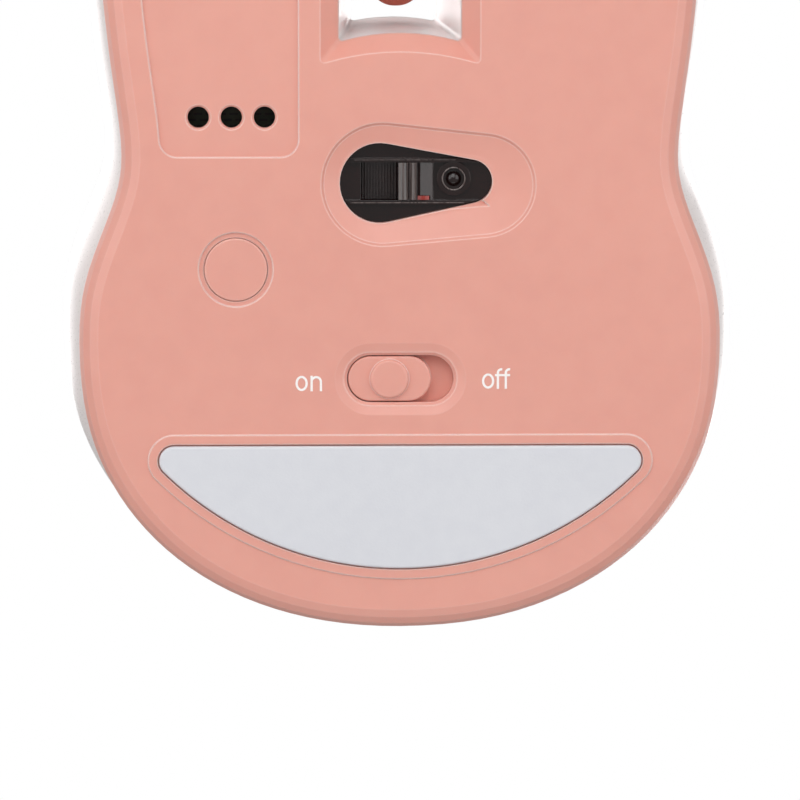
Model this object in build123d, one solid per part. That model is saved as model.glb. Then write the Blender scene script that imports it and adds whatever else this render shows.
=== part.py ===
"""Cordless optical computer mouse, standing on its feet. Millimetres, +Z up, +Y is the button end, +X is the mouse's right.
Origin under the middle of the bounding box."""

import math
import os

from build123d import *

os.makedirs("parts", exist_ok=True)

# ---- driving dimensions ------------------------------------------------------------------
# Bottom case
FACE_Z = 0.5  # underside face above the ground the feet stand on
FLOOR_T = 2.0
FLOOR_Z = FACE_Z + FLOOR_T
WALL_T = 2.3
RIM_Z = 8.8  # top of the bottom case's wall
# sloping band between the underside and the wall, steeper outwards: inset and height above the underside
BAND = [(1.9, 0.0), (1.1, 0.3), (0.4, 0.85), (0.0, 1.7)]
REAR_Y, FRONT_Y = -52.4, 52.4
WIDEST_Y, WIDEST = -24.6, 32.15
FRONT_LOBE_Y, FRONT_LOBE = 21.0, 30.2


def lobe(middle, half_width, end, power, angles):
    """Points of a superellipse quarter from its end on the centre line out to its widest."""
    points = []
    for angle in angles:
        c, s = math.cos(math.radians(angle)), math.sin(math.radians(angle))
        points.append((half_width * c ** (2 / power), middle + (end - middle) * s ** (2 / power)))
    return points


# Half plan of the bottom case, from the rear to the front: palm lobe, waist, front lobe.
HALF_PLAN = [*lobe(WIDEST_Y, WIDEST, REAR_Y, 2.15, (78, 66, 54, 42, 30, 18, 0)), (31.75, -18.6), (29.7, -12.3),
             (27.95, -6.6), (28.05, -1.9), (28.85, 4.0), (29.55, 10.1),
             *lobe(FRONT_LOBE_Y, FRONT_LOBE, FRONT_Y, 2.35, (0, 18, 33, 48, 63, 77))]
# Upper shell sections: height, half width, front, rear, share of plain ellipse
SHELL_T = 1.8
SHELL = [(9.0, 31.95, 52.1, -52.1, 0.0), (12.5, 33.6, 52.3, -52.1, 0.0), (16.5, 34.2, 51.2, -51.1, 0.05),
         (20.5, 33.7, 46.0, -49.2, 0.15), (24.5, 32.0, 36.8, -46.3, 0.35), (28.5, 28.3, 25.6, -42.0, 0.6),
         (31.8, 23.5, 15.1, -37.0, 0.8), (34.4, 17.7, 5.4, -31.1, 0.93), (36.3, 11.6, -3.0, -25.4, 1.0),
         (37.4, 6.0, -9.6, -20.2, 1.0), (37.9, 2.6, -13.0, -17.0, 1.0)]
SKIRT_Z = 16.2  # the keys stop above this ring of the upper shell
# Keys
KEY_X = 6.9  # inner side of each key
KEY_GAP = 0.35
KEY_AXIS = (-3.0, 24.0)  # Y, Z of the pivot pins
KEY_PIN_R = 1.0
KEY_POST = (13.6, 33.0)
# Wheel and its window through the mouse
WHEEL_Y, WHEEL_Z, WHEEL_R, WHEEL_W = 21.7, 20.5, 12.0, 6.0
AXLE_R = 1.2
WHEEL_TRAVEL = 0.4
CARRIAGE_POSTS = (3.3, 40.1)
MOUTH = (8.0, 4.25, 5.5, 38.6)  # at the underside: half width, rear corners, rear middle, front
THROAT = (6.1, 6.5, 7.4, 36.7)  # at the top of the floor
SLOT = (4.55, 7.8, 8.3, 34.9)  # at SLOT_Z, through the upper shell
SLOT_Z = 33.0
LINER_T = 1.2
# Board and what stands on it
BOARD_Z, BOARD_T = 6.4, 1.2
BOARD_TOP = BOARD_Z + BOARD_T
# Underside features
LENS_X, LENS_Y = -5.35, -7.2
SWITCH_Y, SWITCH_L, SWITCH_W = -27.2, 10.7, 4.74
SLIDER_L, SLIDER_TRAVEL = 8.5, 2.2
SLIDER_X = (SWITCH_L - SLIDER_L) / 2
FOOT_T = 0.8
REAR_FOOT_ARC, REAR_FOOT_FRONT = (0.0, -12.57, 33.68), -33.9  # centre and radius, straight edge
PLUG = (16.45, -16.2)
PLUG_GROOVE = 0.22
TEST_HOLES = [(20.15, -1.0), (16.85, -1.0), (13.55, -1.0)]
CASE_SCREWS = [PLUG, (0.0, -40.5), (20.5, 36.0), (-20.5, 36.0)]
BOARD_SCREWS = [(-19.0, -20.0), (19.5, 14.0), (-19.5, 14.0)]


# ---- helpers -----------------------------------------------------------------------------
def save(name, shape):
    solids = shape.solids()
    export_step(solids[0] if len(solids) == 1 else Compound(children=list(solids)), f"parts/{name}.step")


def block(x0, x1, y0, y1, z0, z1):
    return Pos((x0 + x1) / 2, (y0 + y1) / 2, (z0 + z1) / 2) * Box(x1 - x0, y1 - y0, z1 - z0)


def rod(x, y, z0, z1, r):
    return Pos(x, y, (z0 + z1) / 2) * Cylinder(r, z1 - z0)


def rod_x(x0, x1, y, z, r):
    return Pos((x0 + x1) / 2, y, z) * Rot(0, 90, 0) * Cylinder(r, x1 - x0)


def prism(sketch, z0, z1):
    return extrude(Pos(0, 0, z0) * sketch, z1 - z0)


def plan(inset=0.0):
    """The bottom case's outline moved inwards by a distance."""
    half = [(0.0, REAR_Y)] + HALF_PLAN + [(0.0, FRONT_Y)]
    full = half + [(-x, y) for x, y in reversed(half[1:-1])]
    n, points = len(full), []
    for i, (x, y) in enumerate(full):
        (xa, ya), (xb, yb) = full[i - 1], full[(i + 1) % n]
        la, lb = math.hypot(x - xa, y - ya), math.hypot(xb - x, yb - y)
        # the tangent at a point leans to its nearer neighbour
        tx = (x - xa) / la * lb + (xb - x) / lb * la
        ty = (y - ya) / la * lb + (yb - y) / lb * la
        t = math.hypot(tx, ty)
        points.append((x - ty / t * inset, y + tx / t * inset))
    return make_face(Spline(*points, periodic=True))


def shell_section(z, width, front, rear, share):
    """One closed section of the upper shell: the plan scaled to its width and ends, blended into an ellipse."""
    right = []
    rise = max(0.0, z - SHELL[0][0]) / (SHELL[-1][0] - SHELL[0][0])
    middle = WIDEST_Y + ((front + rear) / 2 - WIDEST_Y) * rise**2
    for x, y in HALF_PLAN:
        if y < WIDEST_Y:
            s = (WIDEST_Y - y) / (WIDEST_Y - REAR_Y)
            v = middle + (rear - middle) * s
        else:
            s = (y - WIDEST_Y) / (FRONT_Y - WIDEST_Y)
            v = middle + (front - middle) * s
        ellipse = WIDEST * max(0.0, 1 - s**2.2) ** (1 / 2.2)
        right.append((((1 - share) * x + share * ellipse) * width / WIDEST, v, z))
    return Wire([Spline((0, rear, z), *right, (0, front, z), *[(-x, y, z) for x, y, z in reversed(right)],
                        periodic=True)])


def shell_solid(inset):
    """The upper shell as a full solid, its skin moved inwards by a distance."""
    sections = []
    for z, w, front, rear, share in SHELL:
        down = inset * min(1.0, max(0.0, (z - 16.0) / 14.0))
        sections.append(shell_section(z - down, max(0.8, w - inset * (1 - 0.6 * share)), front - inset * (1 - 0.5 * share),
                                      rear + inset * (1 - 0.5 * share), share))
    if inset:
        z, w, front, rear, share = SHELL[0]
        sections.insert(0, shell_section(z - 3.0, w - inset, front - inset, rear + inset, share))
    return Solid.make_loft(sections)


def window(shape, z, grow=0.0):
    """A wheel-window section: straight sides and front, the rear edge bowed towards the front."""
    half, corner, middle, front = shape
    half, corner, middle, front = half + grow, corner - grow, middle - grow, front + grow
    rear = ThreePointArc((-half, corner), (0, middle), (half, corner))
    sides = Polyline((half, corner), (half, front), (-half, front), (-half, corner))
    face = make_face([rear, *sides.edges()])
    return Pos(0, 0, z) * fillet(face.vertices(), 0.4 + grow * 0.4)


def hull(c0, r0, c1, r1):
    """Outline of two discs and their common tangents, the first the larger."""
    dx, dy = c1[0] - c0[0], c1[1] - c0[1]
    d = math.hypot(dx, dy)
    base, open_ = math.atan2(dy, dx), math.acos((r0 - r1) / d)
    at = lambda c, r, a: (c[0] + r * math.cos(a), c[1] + r * math.sin(a))
    a, b = base + open_, base - open_
    return make_face([Line(at(c0, r0, a), at(c1, r1, a)), ThreePointArc(at(c1, r1, a), at(c1, r1, base), at(c1, r1, b)),
                      Line(at(c1, r1, b), at(c0, r0, b)),
                      ThreePointArc(at(c0, r0, b), at(c0, r0, base + math.pi), at(c0, r0, a))])


def slot(x, y, length, width):
    return Pos(x, y) * SlotOverall(length, width)


# ---- shared solids -----------------------------------------------------------------------
shell_outer = shell_solid(0.0)
shell_inner = shell_solid(SHELL_T)
tube_inner = loft([window(THROAT, FLOOR_Z - 0.01), window(SLOT, SLOT_Z)]) + prism(window(SLOT, 0), SLOT_Z, 45)
tube_outer = loft([window(THROAT, FLOOR_Z, LINER_T), window(SLOT, SLOT_Z, LINER_T)])


def key_region(side, gap):
    """Everything belonging to one key: beside the centre strip, ahead of the curved rear seam, above the skirt."""
    x0 = KEY_X + gap
    seam = Spline((x0, 4.0 + gap), (15.0, 3.2 + gap), (25.0, 0.4 + gap), (40.0, -5.6 + gap))
    sketch = make_face([*seam.edges(), Line((40.0, -5.6 + gap), (40.0, 60.0)), Line((40.0, 60.0), (x0, 60.0)),
                        Line((x0, 60.0), (x0, 4.0 + gap))])
    region = prism(sketch, 5.0, 45.0)
    # the lower edge opens forwards, so the key stays clear of the skirt as it swings
    drop = 0.0 if gap == 0 else 1.0
    under = make_face(Polyline((-20, SKIRT_Z - 30), (-20, SKIRT_Z + 0.1 * drop), (KEY_AXIS[0], SKIRT_Z + 0.3 * drop),
                               (60, SKIRT_Z + 1.15 * drop), (60, SKIRT_Z - 30), close=True))
    region -= Pos(-5, 0, 0) * extrude(Plane.YZ * under, 60)
    return region if side > 0 else mirror(region, Plane.YZ)


# ---- bottom case -------------------------------------------------------------------------
def bottom_case():
    body = prism(plan(), FACE_Z + BAND[-1][1], RIM_Z)
    for (inset0, z0), (inset1, z1) in zip(BAND, BAND[1:]):
        body += loft([Pos(0, 0, FACE_Z + z0) * plan(inset0), Pos(0, 0, FACE_Z + z1) * plan(inset1)])
    body -= prism(plan(WALL_T), FLOOR_Z, RIM_Z + 1)
    # a locating lip for the upper shell, standing clear of the shell's inner face
    body += prism(plan(WALL_T - 0.1) - plan(WALL_T + 1.1), RIM_Z - 2.0, RIM_Z - 0.1)
    body += prism(plan(WALL_T + 0.4) - plan(WALL_T + 1.1), RIM_Z - 1.0, RIM_Z + 1.4)
    # bosses for the case screws, posts for the board, posts of the wheel carriage
    for x, y in CASE_SCREWS:
        body += rod(x, y, FLOOR_Z - 0.1, 5.4, 4.9 if (x, y) == PLUG else 3.8)
    for x, y in BOARD_SCREWS:
        body += rod(x, y, FLOOR_Z - 0.1, BOARD_Z, 2.3)
    for y in CARRIAGE_POSTS:
        body += rod(0, y, FLOOR_Z - 0.1, 8.0, 2.0) + rod(0, y, 8.0, 17.0, 1.0)
    # rails of the power slider
    for s in (-1, 1):
        body += block(-9.4, 9.4, SWITCH_Y + s * 4.5 - 0.5, SWITCH_Y + s * 4.5 + 0.5, FLOOR_Z - 0.1, 4.0)
    # wheel window with its chamfered mouth
    body -= loft([window(MOUTH, FACE_Z - 0.01), window(THROAT, FLOOR_Z + 0.01)])
    # sensor window: a basin with a short steep wall and a gently falling floor, then the straight aperture
    body -= loft([Pos(0, 0, FACE_Z - 0.01) * hull((1.75, -7.7), 6.2, (-8.35, -7.8), 5.2),
                  Pos(0, 0, FACE_Z + 0.3) * hull((1.75, -7.7), 5.9, (-8.35, -7.8), 4.9)])
    body -= loft([Pos(0, 0, FACE_Z + 0.29) * hull((1.75, -7.7), 5.9, (-8.35, -7.8), 4.9),
                  Pos(0, 0, FACE_Z + 0.75) * hull((2.05, -7.6), 4.2, (-7.2, -7.47), 2.6)])
    body -= prism(hull((2.05, -7.6), 4.0, (-7.0, -7.45), 2.2), FACE_Z, FLOOR_Z + 1)
    # one flank of the aperture falls away in a flat facet
    p0, p1, p2 = Vector(-2.9, -10.6, FACE_Z + 0.55), Vector(-8.1, -9.2, FACE_Z + 1.5), Vector(-9.3, -10.2, FACE_Z + 0.4)
    wedge = extrude(make_face(Polyline((p0.X, p0.Y), (p1.X, p1.Y), (p2.X, p2.Y), close=True)), 3.0)
    body -= split(wedge, bisect_by=Plane(origin=p0, x_dir=p2 - p0, z_dir=(p2 - p0).cross(p1 - p0)), keep=Keep.BOTTOM
                  if (p2 - p0).cross(p1 - p0).Z > 0 else Keep.TOP)
    # power-switch slot: a shallow dish, then the slot with a small chamfer
    body -= loft([Pos(0, 0, FACE_Z - 0.01) * slot(0, SWITCH_Y, 13.2, 7.3),
                  Pos(0, 0, FACE_Z + 0.22) * slot(0, SWITCH_Y, SWITCH_L + 0.9, SWITCH_W + 0.9)])
    body -= loft([Pos(0, 0, FACE_Z + 0.2) * slot(0, SWITCH_Y, SWITCH_L + 0.7, SWITCH_W + 0.7),
                  Pos(0, 0, FACE_Z + 0.5) * slot(0, SWITCH_Y, SWITCH_L, SWITCH_W)])
    body -= prism(slot(0, SWITCH_Y, SWITCH_L, SWITCH_W), FACE_Z, FLOOR_Z + 1)
    # label recess and the three test holes
    label = plan(3.85) & Pos(25.15, 11.5) * Rectangle(30, 33)
    label = fillet(label.vertices(), 1.8)
    body -= prism(label, FACE_Z - 0.1, FACE_Z + 0.25)
    for x, y in TEST_HOLES:
        body -= rod(x, y, 0, FLOOR_Z + 1, 1.07)
        body -= Pos(x, y, FACE_Z + 0.35) * Cone(1.27, 1.07, 0.2)
    # round plug, screw holes and foot recesses
    body -= rod(*PLUG, 0, FACE_Z + PLUG_GROOVE, 3.73) + rod(*PLUG, 0, 1.95, 3.2)
    for x, y in CASE_SCREWS:
        body -= rod(x, y, 0, 3.6, 2.4) + rod(x, y, 0, 6, 1.3)
    for x, y in BOARD_SCREWS:
        body -= rod(x, y, 3.4, 8, 0.85)
    # a low lip around each foot, and the recess it sits in
    for outline in (rear_foot_plan, front_foot_plan_left, front_foot_plan_right):
        body += prism(outline(1.1), FACE_Z - 0.16, FACE_Z + 0.1)
        body -= prism(outline(0.15), 0, FOOT_T)
    # charging port
    body -= port_hole()
    return body


def rear_foot_plan(grow=0.0):
    """A half moon: a disc cut off by a straight front edge."""
    x, y, r = REAR_FOOT_ARC
    foot = Pos(x, y) * Circle(r + grow) & Pos(0, REAR_FOOT_FRONT + grow - 20) * Rectangle(80, 40)
    return fillet(foot.vertices(), 1.5 + grow)


def front_foot_plan(side, grow):
    foot = (plan(5.2 - grow) - plan(11.0 + grow)) & Pos(side * (28.5 - grow), 45 - grow) * Rectangle(41, 26)
    return fillet(foot.vertices(), 1.4 + grow)


def front_foot_plan_left(grow=0.0):
    return front_foot_plan(-1, grow)


def front_foot_plan_right(grow=0.0):
    return front_foot_plan(1, grow)


def port_hole():
    return Pos(0, 50, 9.3) * Rot(90, 0, 0) * extrude(SlotOverall(9.7, 3.9), 4, both=True)


# ---- upper shell, keys ---------------------------------------------------------------------
def upper_shell():
    return shell_outer - shell_inner


def palm_cover(shell):
    body = shell - key_region(1, 0) - key_region(-1, 0)
    hung = None
    for x, y in CASE_SCREWS:
        if y < 0:
            post = rod(x, y, 5.5, 40, 2.8)
        else:
            s = math.copysign(1, x)
            post = rod(x, y, 5.5, SKIRT_Z - 0.6, 2.8) + block(*sorted((x, s * 32)), y - 0.8, y + 0.8, 10.6, SKIRT_Z - 0.6)
        hung = post if hung is None else hung + post
    for s in (-1, 1):
        for x in (8.9, 21.5):
            hung += block(s * x - 0.75, s * x + 0.75, KEY_AXIS[0] - 3.0, KEY_AXIS[0] + 2.6, KEY_AXIS[1] - 2.4, 40)
        for y in (-5.8, 3.8):
            hung += rod(s * 5.0, y, 27.6, 40, 1.5)
    body += hung & shell_solid(0.9)
    # a shelf and a lip behind the gap under the keys
    inside = shell_solid(2.9) - shell_solid(3.8)
    shelf = shell_solid(1.5) - shell_solid(3.8)
    body += inside & (block(-40, -6, 3, 60, 13.6, 18.0) + block(6, 40, 3, 60, 13.6, 18.0))
    body += shelf & (block(-40, -6, 3, 60, 13.6, 14.8) + block(6, 40, 3, 60, 13.6, 14.8))
    for x, y in CASE_SCREWS:
        body -= rod(x, y, 5, 14.5, 1.15)
    for s in (-1, 1):
        body -= rod_x(*sorted((s * 8.1, s * 22.4)), *KEY_AXIS, KEY_PIN_R + 0.02)
        for y in (-5.8, 3.8):
            body += rod(s * 5.0, y, 25.9, 27.7, 0.6)
    body -= tube_inner
    body -= prism(Pos(0, -1) * Rot(0, 0, 90) * SlotOverall(9.2, 5.4), 30, 45)
    body -= port_hole()
    return body


def key(shell, side):
    body = shell & key_region(side, KEY_GAP)
    y0, z0 = KEY_AXIS
    hung = rod(side * KEY_POST[0], KEY_POST[1], 14.95, 40, 1.6)
    for x in (11.4, 19.1):
        hung += block(side * x - 1.5, side * x + 1.5, 5.0, 7.6, z0 - 1.4, 40)
    hung = hung & shell_solid(0.9)
    for x in (11.4, 19.1):
        hung += block(side * x - 1.5, side * x + 1.5, y0, 7.6, z0 - 1.4, z0 + 1.4)
        hung += rod_x(side * x - 1.5, side * x + 1.5, y0, z0, 2.2)
    body += hung
    return body - rod_x(side * 15.25 - 6, side * 15.25 + 6, y0, z0, KEY_PIN_R + 0.05)


# ---- wheel group -----------------------------------------------------------------------------
def wheel_tyre():
    half = WHEEL_W / 2
    crown = make_face([Line((9.2, -half), (WHEEL_R - 1.9, -half)),
                       ThreePointArc((WHEEL_R - 1.9, -half), (WHEEL_R, 0), (WHEEL_R - 1.9, half)),
                       Line((WHEEL_R - 1.9, half), (9.2, half)), Line((9.2, half), (9.2, -half))])
    ring = revolve(Plane.XZ * crown, Axis.Z)
    return Pos(0, WHEEL_Y, WHEEL_Z) * Rot(0, 90, 0) * ring


def wheel_hub():
    rim = Cylinder(9.2, WHEEL_W) - Pos(0, 0, 2.2) * (Cylinder(7.6, 2.0) - Cylinder(2.6, 2.0))
    rim -= Pos(0, 0, -2.2) * (Cylinder(7.6, 2.0) - Cylinder(2.6, 2.0))
    rim += Pos(0, 0, 0) * (Cylinder(2.6, WHEEL_W + 1.6))
    rim -= PolarLocations(5.2, 6) * Cylinder(1.3, 10)
    rim -= Cylinder(AXLE_R + 0.02, 20)
    return Pos(0, WHEEL_Y, WHEEL_Z) * Rot(0, 90, 0) * rim


def window_liner():
    body = tube_outer - tube_inner
    body &= Pos(0, 0, -0.1) * shell_inner + block(-20, 20, -5, 48, 0, 9)
    for z0, z1 in ((WHEEL_Z - WHEEL_TRAVEL, WHEEL_Z),):
        body -= rod_x(-12, 12, WHEEL_Y, z0, AXLE_R + 0.3) + rod_x(-12, 12, WHEEL_Y, z1, AXLE_R + 0.3)
        body -= block(-12, 12, WHEEL_Y - AXLE_R - 0.3, WHEEL_Y + AXLE_R + 0.3, z0, z1)
    return body


def wheel_carriage():
    body = block(-10.2, 10.2, 1.2, 41.4, 12.0, 14.4) - block(-8.5, 8.5, 5.2, 38.6, 10, 16)
    for s in (-1, 1):
        body += block(*sorted((s * 8.5, s * 10.2)), WHEEL_Y - 3.2, WHEEL_Y + 3.2, 12.0, WHEEL_Z + 3.2)
    body += block(-13.2, -8.5, WHEEL_Y - 1.7, WHEEL_Y + 1.7, 12.0, 14.0)
    body = fillet(body.edges().filter_by(Axis.X).group_by(Axis.Z)[-1], 2.4)
    body -= rod_x(-12, 12, WHEEL_Y, WHEEL_Z, AXLE_R + 0.05)
    for y in CARRIAGE_POSTS:
        body -= rod(0, y, 10, 16, 1.08)
    return body


def coil(x, y, z0, z1, radius, wire, turns):
    path = Helix(pitch=(z1 - z0) / turns, height=z1 - z0, radius=radius)
    section = Plane(origin=path @ 0, z_dir=path % 0) * Circle(wire)
    return Pos(x, y, z0) * sweep(section, path=path)


def encoder_body():
    body = block(10.8, 15.2, 17.5, 26.5, BOARD_TOP, 23.8)
    body = fillet(body.edges().filter_by(Axis.X).group_by(Axis.Z)[-1], 2.0)
    body -= rod_x(10, 16, WHEEL_Y, WHEEL_Z, 2.5) + rod_x(10, 16, WHEEL_Y, WHEEL_Z - WHEEL_TRAVEL, 2.5)
    body -= block(10, 16, WHEEL_Y - 2.5, WHEEL_Y + 2.5, WHEEL_Z - WHEEL_TRAVEL, WHEEL_Z)
    return body


def encoder_rotor():
    return rod_x(11.1, 14.9, WHEEL_Y, WHEEL_Z, 2.3) - rod_x(10, 16, WHEEL_Y, WHEEL_Z, AXLE_R + 0.02)


# ---- board and its components ------------------------------------------------------------------
def main_board():
    outline = plan(3.7) & Pos(0, 8.0) * Rectangle(80, 82)
    outline -= Pos(0, 21.6) * Rectangle(16.6, 41.0)
    outline -= Pos(-1.7, -7.4) * Rectangle(13.4, 6.8)
    body = prism(outline, BOARD_Z, BOARD_TOP)
    for x, y in CASE_SCREWS:
        body -= rod(x, y, 0, 12, 3.3)
    for x, y in BOARD_SCREWS:
        body -= rod(x, y, 0, 12, 1.2)
    return body


def micro_switch(side):
    x = side * KEY_POST[0]
    body = block(x - 2.9, x + 2.9, 29.5, 42.3, BOARD_TOP, BOARD_TOP + 6.5)
    body = chamfer(body.faces().sort_by(Axis.Z)[-1].edges(), 0.4)
    return body - block(x - 0.7, x + 0.7, 31.75, 34.25, BOARD_TOP + 4.6, 20)


def micro_plunger(side):
    x = side * KEY_POST[0]
    body = block(x - 0.6, x + 0.6, 31.85, 34.15, BOARD_TOP + 5.4, 14.8)
    return fillet(body.edges().filter_by(Axis.X).group_by(Axis.Z)[-1], 0.3)


def tact_switch(x, y, z):
    body = block(x - 3, x + 3, y - 3, y + 3, z, z + 3.5)
    body = fillet(body.edges().filter_by(Axis.Z), 0.6)
    return body - rod(x, y, z + 1.8, z + 4, 1.72)


def tact_stem(x, y, z):
    return rod(x, y, z + 2.4, z + 4.3, 1.62)


def sensor_lens():
    """A clear plate over the floor: lens tube, ridges along the window, a stepped prism, and an arm up to the lamp."""
    body = prism(Pos(-1.2, -7.4) * RectangleRounded(24, 14.6, 2), FLOOR_Z, FLOOR_Z + 1.1)
    body -= block(0.2, 3.9, -9.45, -5.45, 0, 10)
    low = rod(LENS_X, LENS_Y, 1.9, FLOOR_Z + 0.1, 1.7) + block(-8.4, 5.6, -9.75, -9.35, 1.8, FLOOR_Z + 0.1)
    low += block(-8.4, 5.6, -5.55, -5.15, 1.8, FLOOR_Z + 0.1)
    wedge = make_face(Polyline((-3.3, 2.6), (-3.3, 1.9), (-1.7, 2.4), (-1.7, 1.8), (-0.9, 1.8), (0.2, 2.6), close=True))
    low += Pos(0, -5.45, 0) * extrude(Plane.XZ * wedge, 4.0)
    body += low & prism(hull((2.05, -7.6), 3.9, (-7.0, -7.45), 2.1), 0, 5)
    body += rod(LENS_X, LENS_Y, FLOOR_Z, 5.6, 1.7)
    body -= rod(LENS_X, LENS_Y, 0, 2.35, 1.2)
    body += (Pos(LENS_X, LENS_Y, 3.0) * Sphere(1.0)) & rod(LENS_X, LENS_Y, 1.4, 3.1, 0.95)
    guide = make_face(Polyline((1.2, 3.55), (4.6, 3.55), (4.6, 11.6), (3.2, 11.6), (1.2, 6.2), close=True))
    return body + Pos(0, -6.0, 0) * extrude(Plane.XZ * guide, 2.8)


def sensor_ic():
    body = block(-10.0, -0.7, -13.4, -1.0, BOARD_TOP + 0.2, BOARD_TOP + 2.9)
    body = chamfer(body.faces().sort_by(Axis.Z)[-1].edges(), 0.3)
    for i in range(6):
        x = -9.1 + i * 1.5
        for s in (-1, 1):
            y = -7.2 + s * 6.0
            body += block(x - 0.25, x + 0.25, *sorted((y, y + s * 1.2)), BOARD_TOP + 1.0, BOARD_TOP + 1.5)
            body += block(x - 0.25, x + 0.25, *sorted((y + s * 0.9, y + s * 1.2)), BOARD_TOP, BOARD_TOP + 1.5)
    return body - rod(LENS_X, LENS_Y, 0, BOARD_TOP + 1.2, 2.2)


def led():
    body = rod_x(6.6, 10.6, -7.4, 10.6, 2.5) + Pos(6.6, -7.4, 10.6) * Sphere(2.5) + rod_x(10.6, 11.6, -7.4, 10.6, 2.9)
    for s in (-1, 1):
        y = -7.4 + s * 1.27
        body += block(11.5, 12.8, y - 0.25, y + 0.25, 10.35, 10.85)
        body += block(12.3, 12.8, y - 0.25, y + 0.25, BOARD_TOP, 10.85)
    return body - block(0, 5.0, -12, 0, 5, 15)


def led_clip():
    body = block(6.8, 10.4, -11.4, -3.4, BOARD_TOP, 12.6)
    body = fillet(body.edges().filter_by(Axis.X).group_by(Axis.Z)[-1], 2.0)
    return body - rod_x(5, 12, -7.4, 10.6, 2.6) - block(5, 12, -9.0, -5.8, 10.6, 15)


def chip(x, y, size, height):
    body = block(x - size / 2, x + size / 2, y - size / 2, y + size / 2, BOARD_TOP + 0.1, BOARD_TOP + height)
    for i in range(5):
        d = -size / 2 + (i + 0.5) * size / 5
        for s in (-1, 1):
            body += block(x + d - 0.2, x + d + 0.2, *sorted((y + s * size / 2, y + s * (size / 2 + 0.8))), BOARD_TOP,
                          BOARD_TOP + 0.35)
            body += block(*sorted((x + s * size / 2, x + s * (size / 2 + 0.8))), y + d - 0.2, y + d + 0.2, BOARD_TOP,
                          BOARD_TOP + 0.35)
    return body


def crystal(x, y):
    body = prism(Pos(x, y) * SlotOverall(10.0, 4.2), BOARD_TOP, BOARD_TOP + 0.5)
    body += prism(Pos(x, y) * SlotOverall(9.2, 3.5), BOARD_TOP + 0.4, BOARD_TOP + 3.4)
    return fillet(body.faces().sort_by(Axis.Z)[-1].edges(), 0.4)


def charging_port():
    tube = SlotOverall(8.94, 3.16)
    body = Pos(0, 50.9, 9.3) * Rot(90, 0, 0) * extrude(tube - offset(tube, -0.3), 7.0)
    body += Pos(0, 44.2, 9.3) * Rot(90, 0, 0) * extrude(tube, 0.4)
    body += block(-3.2, 3.2, 44.0, 49.9, 8.95, 9.65)
    for s in (-1, 1):
        body += block(*sorted((s * 3.6, s * 4.9)), 45.0, 46.4, BOARD_TOP, 8.3)
    return body


# ---- power switch --------------------------------------------------------------------------------
def power_slider():
    x = SLIDER_X
    body = prism(slot(x, SWITCH_Y, SLIDER_L - 0.16, SWITCH_W - 0.2), 1.05, 2.7)
    body = fillet(body.faces().sort_by(Axis.Z)[0].edges(), 0.2)
    knob = fillet(rod(x, SWITCH_Y, 0.6, 1.2, 1.94).faces().sort_by(Axis.Z)[0].edges(), 0.25)
    body += knob
    body += block(x - 7.2, x + 7.2, SWITCH_Y - 3.8, SWITCH_Y + 3.8, FLOOR_Z + 0.08, 3.6)
    for s in (-1, 1):
        body += block(*sorted((x + s * 0.9, x + s * 1.9)), SWITCH_Y - 1.6, SWITCH_Y + 1.6, 3.5, 4.6)
    return body


def power_switch_body():
    body = block(-4.6, 4.6, SWITCH_Y - 2.0, SWITCH_Y + 2.0, 4.8, BOARD_Z)
    return body - block(-2.2, 2.2, SWITCH_Y - 0.85, SWITCH_Y + 0.85, 0, 6.0)


def power_switch_lever():
    return block(SLIDER_X - 0.8, SLIDER_X + 0.8, SWITCH_Y - 0.75, SWITCH_Y + 0.75, 3.75, 5.9)


# ---- screws, feet, cell --------------------------------------------------------------------------
def screw(x, y, z_head, z_seat, z_tip, r_head, r_shaft):
    """A pan-head screw; its head lies from z_head to the seat, its shank runs on to the tip."""
    body = rod(x, y, *sorted((z_head, z_seat)), r_head) + rod(x, y, *sorted((z_seat, z_tip)), r_shaft)
    s = 1 if z_seat > z_head else -1
    cross = block(x - r_head * 0.62, x + r_head * 0.62, y - 0.25, y + 0.25, *sorted((z_head - s, z_head + s * 0.7)))
    cross += block(x - 0.25, x + 0.25, y - r_head * 0.62, y + r_head * 0.62, *sorted((z_head - s, z_head + s * 0.7)))
    return body - cross


def screw_plug():
    body = rod(*PLUG, FACE_Z, 1.9, 3.15)
    return fillet(body.faces().sort_by(Axis.Z)[0].edges(), 0.12)


def foot(sketch):
    body = prism(sketch, 0, FOOT_T)
    return fillet(body.faces().sort_by(Axis.Z)[0].edges(), 0.25)


def cell():
    body = block(-12.5, 12.5, -36.0, -14.8, 9.0, 14.4)
    body = fillet(body.edges().filter_by(Axis.Y), 1.6)
    return body + block(-12.4, 12.4, -14.9, -13.6, 10.0, 11.6)


def lead(x):
    path = Spline((x, -13.6, 10.8), (x, -12.0, 10.5), (x, -10.6, BOARD_TOP + 0.1), tangents=[(0, 1, 0), (0, 0, -1)])
    return sweep(Plane(origin=path @ 0, z_dir=path % 0) * Circle(0.5), path=path)


def dpi_button():
    body = prism(Pos(0, -1) * Rot(0, 0, 90) * SlotOverall(8.9, 5.1), 31.95, 45)
    body &= Pos(0, 0, 0.35) * shell_outer
    return body + prism(Pos(0, -1) * RectangleRounded(6.6, 10.4, 1.0), 31.95, 32.45)


def dpi_board():
    body = prism(Pos(0, -1) * RectangleRounded(13.4, 12.6, 0.8), 26.5, 27.5)
    for x in (-5, 5):
        for y in (-5.8, 3.8):
            body -= rod(x, y, 20, 30, 0.68)
    return body


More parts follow.
